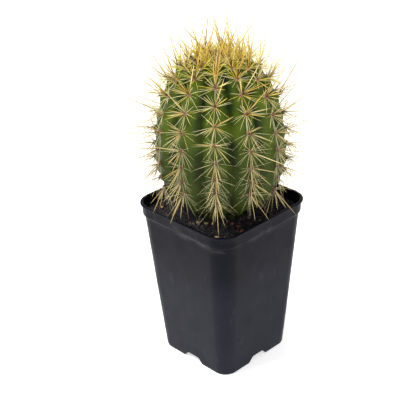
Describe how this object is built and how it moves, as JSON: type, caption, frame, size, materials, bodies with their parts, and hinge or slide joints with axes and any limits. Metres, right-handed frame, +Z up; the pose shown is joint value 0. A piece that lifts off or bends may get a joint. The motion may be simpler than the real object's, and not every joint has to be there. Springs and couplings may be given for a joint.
{
  "type": "potted round cactus",
  "caption": "Round ribbed cactus with rows of spiny areoles, rooted in soil in a tapered square nursery pot with a banded rim and drain arches",
  "frame": {"origin": "centre of the pot's base, on the surface that the pot stands on", "axes": "+Z up along the plant, X and Y along the pot's sides"},
  "size_m": [0.1406, 0.1406, 0.2534],
  "materials": {
    "pot_plastic": "dark charcoal, satin, thin moulded plastic",
    "peat": "very dark, loose and grainy peat mix",
    "stem_skin": "green waxy skin, darker in the grooves",
    "spine_horn": "golden to cream spines, some brown at the foot, from tan felt",
    "bark": "reddish brown bark",
    "pale_wood": "pale yellow wood chips",
    "perlite": "greyish white perlite"
  },
  "bodies": {
    "root": {"pot": "pot_plastic", "soil": "peat", "cactus_stem": "stem_skin", "crown_spines": "spine_horn", "spine_row_01": "spine_horn", "spine_row_02": "spine_horn", "spine_row_03": "spine_horn", "spine_row_04": "spine_horn", "spine_row_05": "spine_horn", "spine_row_06": "spine_horn", "spine_row_07": "spine_horn", "spine_row_08": "spine_horn", "spine_row_09": "spine_horn", "spine_row_10": "spine_horn", "spine_row_11": "spine_horn", "spine_row_12": "spine_horn", "bark_chip_1": "bark", "bark_chip_2": "bark", "bark_chip_3": "bark", "bark_chip_4": "bark", "bark_chip_5": "bark", "pale_chip_1": "pale_wood", "pale_chip_2": "pale_wood", "pale_chip_3": "pale_wood", "pale_chip_4": "pale_wood", "pale_chip_5": "pale_wood", "perlite_grain": "perlite"}
  },
  "joints": []
}
